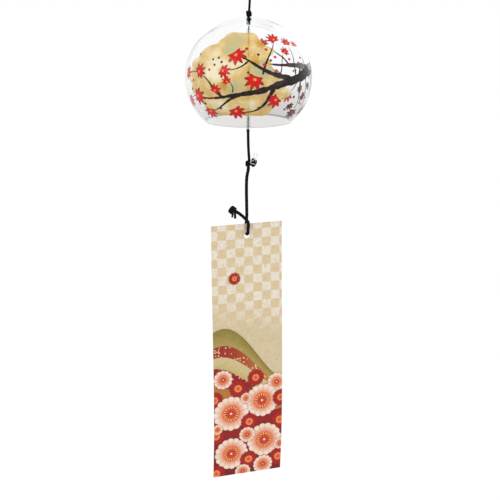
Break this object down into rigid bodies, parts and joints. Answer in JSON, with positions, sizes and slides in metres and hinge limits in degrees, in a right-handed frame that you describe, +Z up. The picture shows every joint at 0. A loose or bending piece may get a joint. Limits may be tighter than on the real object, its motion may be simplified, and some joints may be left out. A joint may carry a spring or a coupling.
{
  "type": "wind bell",
  "caption": "Round blown-glass wind bell on a cord loop, with a glass tube clapper that strikes its rim and a long paper strip on a knotted cord that catches the wind.",
  "frame": {"origin": "where a hook bears, inside the top of the hanging loop", "axes": "+Z up along the hanging cord, +X across the loop to the right as seen from the front, -Y towards the viewer"},
  "size_m": [0.08, 0.08, 0.3733],
  "materials": {
    "black_cord": "twisted black polyester cord, slightly waxed",
    "thread": "thin dark thread",
    "clear_glass": "clear blown glass, smooth",
    "nylon": "clear nylon line",
    "printed_paper": "printed card, matt"
  },
  "bodies": {
    "loop": {"hanging_loop": "black_cord", "loop_knot": "black_cord"},
    "hanger": {"hanger_cord": "black_cord", "crown_knot": "black_cord", "stopper_knot": "black_cord"},
    "bell": {"glass_bell": "clear_glass"},
    "clapper": {"clapper_thread": "thread", "clapper_tube": "clear_glass", "tube_knot": "black_cord"},
    "drop": {"drop_cord": "black_cord", "joining_knot": "black_cord", "clear_tail": "nylon"},
    "lower_cord": {"strip_cord": "black_cord"},
    "strip": {"strip_tie": "black_cord", "end_knot": "black_cord", "paper_strip": "printed_paper"}
  },
  "joints": [
    {"name": "hanger_swing", "type": "hinge", "parent": "loop", "child": "hanger", "pos_m": [0, 0, -0.032], "axis": [0, 1, 0], "range_deg": [-45, 45]},
    {"name": "bell_tilt", "type": "hinge", "parent": "hanger", "child": "bell", "pos_m": [0, 0, -0.06664], "axis": [1, 0, 0], "range_deg": [-8, 8]},
    {"name": "clapper_swing", "type": "hinge", "parent": "bell", "child": "clapper", "pos_m": [0, 0, -0.06664], "axis": [0, 1, 0], "range_deg": [-22, 22]},
    {"name": "drop_swing", "type": "hinge", "parent": "clapper", "child": "drop", "pos_m": [0, 0, -0.1343], "axis": [1, 0, 0], "range_deg": [-45, 45]},
    {"name": "lower_swing", "type": "hinge", "parent": "drop", "child": "lower_cord", "pos_m": [0, 0, -0.1571], "axis": [0, 1, 0], "range_deg": [-40, 40]},
    {"name": "strip_turn", "type": "hinge", "parent": "lower_cord", "child": "strip", "pos_m": [-0.0005, 0, -0.1903], "axis": [0, 0, 1], "range_deg": [-180, 180]}
  ]
}
